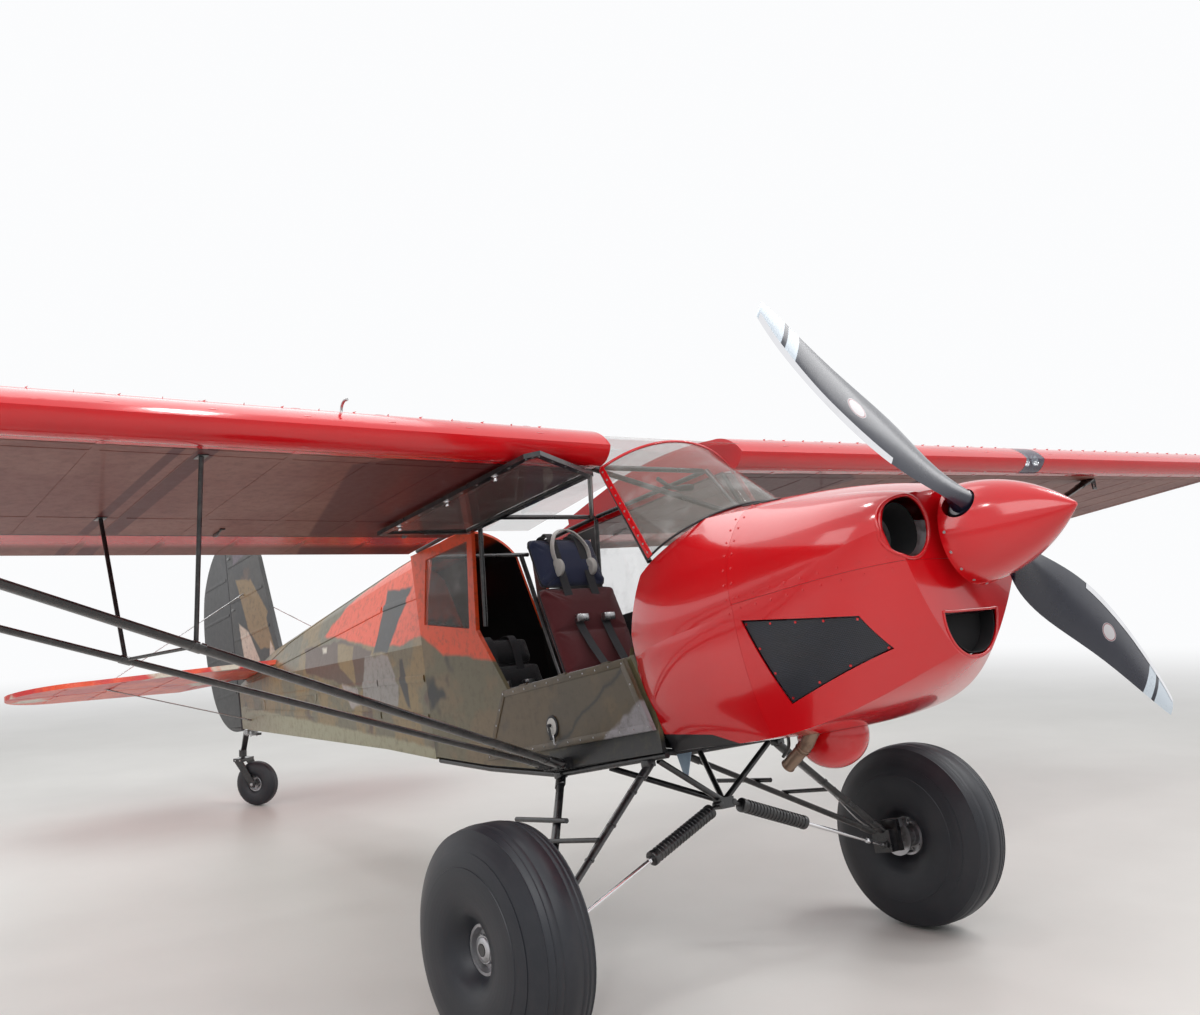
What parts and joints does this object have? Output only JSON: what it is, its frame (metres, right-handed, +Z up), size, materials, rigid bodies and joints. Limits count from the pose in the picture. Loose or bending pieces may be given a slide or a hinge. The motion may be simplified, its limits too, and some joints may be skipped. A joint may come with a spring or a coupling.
{
  "type": "microlight aircraft",
  "caption": "High-wing tandem-seat light bush aircraft with fat tundra tyres, a braced wing, a swung-up door and a swivelling tail wheel.",
  "frame": {"origin": "on the floor under the middle of the aircraft's outline, parked on its three wheels", "axes": "+X to the aircraft's left, +Y towards the tail, +Z up"},
  "size_m": [10.44, 7.1316, 2.3548],
  "materials": {
    "red_paint": "gloss",
    "dark_paint": "gloss",
    "camouflage": "satin",
    "fabric_pink": "satin",
    "clear_glass": "clear",
    "steel": "brushed",
    "bright": "polished",
    "cast": "cast",
    "tyre": "matte",
    "seat_cloth": "woven",
    "blade_finish": "satin",
    "plastic": "matte"
  },
  "bodies": {
    "airframe": {"aft_fuselage": "camouflage", "boot_cowl": "red_paint", "brake_calipers": "cast", "cabane": "dark_paint", "cabin_floor": "dark_paint", "cabin_frame": "dark_paint", "cabin_side_left": "camouflage", "cabin_side_right": "camouflage", "cheek_panels": "dark_paint", "chin_fairing": "dark_paint", "control_sticks": "plastic", "cowl_lower": "red_paint", "cowl_upper": "red_paint", "engine": "cast", "exhaust": "steel", "fin": "camouflage", "firewall": "steel", "front_seat": "seat_cloth", "gear_legs": "dark_paint", "instrument_panel": "plastic", "jury_struts": "dark_paint", "landing_lights": "clear_glass", "lift_struts": "dark_paint", "rear_cabin_shell": "camouflage", "rear_seat": "seat_cloth", "rear_side_windows": "clear_glass", "shock_cylinders": "dark_paint", "shock_rods": "bright", "side_window_left": "clear_glass", "skylight": "clear_glass", "stabiliser": "camouflage", "strut_fittings": "dark_paint", "tail_spring": "dark_paint", "tail_wires": "dark_paint", "tie_downs": "dark_paint", "windshield": "clear_glass", "wing_left": "fabric_pink", "wing_right": "fabric_pink"},
    "wheel_left": {"tyre_left": "tyre", "hub_left": "cast"},
    "wheel_right": {"tyre_right": "tyre", "hub_right": "cast"},
    "propeller": {"spinner": "red_paint", "propeller": "blade_finish"},
    "upper_door": {"upper_door_frame": "dark_paint", "upper_door_pane": "clear_glass"},
    "lower_door": {"lower_door": "camouflage"},
    "flap_left": {"flap_left": "fabric_pink"},
    "flap_right": {"flap_right": "fabric_pink"},
    "aileron_left": {"aileron_left": "fabric_pink"},
    "aileron_right": {"aileron_right": "fabric_pink"},
    "elevator": {"elevator": "camouflage"},
    "rudder": {"rudder": "dark_paint"},
    "tail_fork": {"tail_fork": "dark_paint"},
    "tail_wheel": {"tail_tyre": "tyre", "tail_hub": "cast"}
  },
  "joints": [
    {"name": "wheel_left_spin", "type": "hinge", "parent": "airframe", "child": "wheel_left", "pos_m": [1.101, -2.10896, 0.395], "axis": [1, 0, 0], "continuous": true},
    {"name": "wheel_right_spin", "type": "hinge", "parent": "airframe", "child": "wheel_right", "pos_m": [-1.101, -2.10896, 0.395], "axis": [1, 0, 0], "continuous": true},
    {"name": "propeller_spin", "type": "hinge", "parent": "airframe", "child": "propeller", "pos_m": [0, -3.26499, 1.69948], "axis": [0, 0.9789, -0.2042], "continuous": true},
    {"name": "upper_door_hinge", "type": "hinge", "parent": "airframe", "child": "upper_door", "pos_m": [-0.372, -1.1876, 1.87405], "axis": [0, 0.9789, -0.2042], "range_deg": [-92, 0]},
    {"name": "lower_door_hinge", "type": "hinge", "parent": "airframe", "child": "lower_door", "pos_m": [-0.378, -1.53467, 1.18949], "axis": [0, 0.9789, -0.2042], "range_deg": [0, 178]},
    {"name": "flap_left_hinge", "type": "hinge", "parent": "airframe", "child": "flap_left", "pos_m": [1.5, -0.57848, 1.83138], "axis": [0.9999, 0.0035, 0.0168], "range_deg": [-50, 0]},
    {"name": "flap_right_hinge", "type": "hinge", "parent": "airframe", "child": "flap_right", "pos_m": [-1.5, -0.57848, 1.83138], "axis": [0.9999, -0.0035, -0.0168], "range_deg": [-50, 0]},
    {"name": "aileron_left_hinge", "type": "hinge", "parent": "airframe", "child": "aileron_left", "pos_m": [3.7, -0.57075, 1.86845], "axis": [0.9999, 0.0035, 0.0168], "range_deg": [-20, 20]},
    {"name": "aileron_right_hinge", "type": "hinge", "parent": "airframe", "child": "aileron_right", "pos_m": [-3.7, -0.57075, 1.86845], "axis": [0.9999, -0.0035, -0.0168], "range_deg": [-20, 20]},
    {"name": "elevator_hinge", "type": "hinge", "parent": "airframe", "child": "elevator", "pos_m": [0, 2.79828, 0.90388], "axis": [1, 0, 0], "range_deg": [-20, 25]},
    {"name": "rudder_hinge", "type": "hinge", "parent": "airframe", "child": "rudder", "pos_m": [0, 2.99169, 1.17], "axis": [0, 0.2042, 0.9789], "range_deg": [-25, 25]},
    {"name": "tail_swivel", "type": "hinge", "parent": "airframe", "child": "tail_fork", "pos_m": [0, 2.87604, 0.155], "axis": [0, 0, 1], "continuous": true},
    {"name": "tail_wheel_spin", "type": "hinge", "parent": "tail_fork", "child": "tail_wheel", "pos_m": [0.06427, 2.77708, 0.155], "axis": [-0.8387, -0.5446, 0], "continuous": true}
  ],
  "couplings": [
    {"joint": "flap_right_hinge", "follows": "flap_left_hinge", "ratio": 1},
    {"joint": "aileron_right_hinge", "follows": "aileron_left_hinge", "ratio": -1}
  ]
}
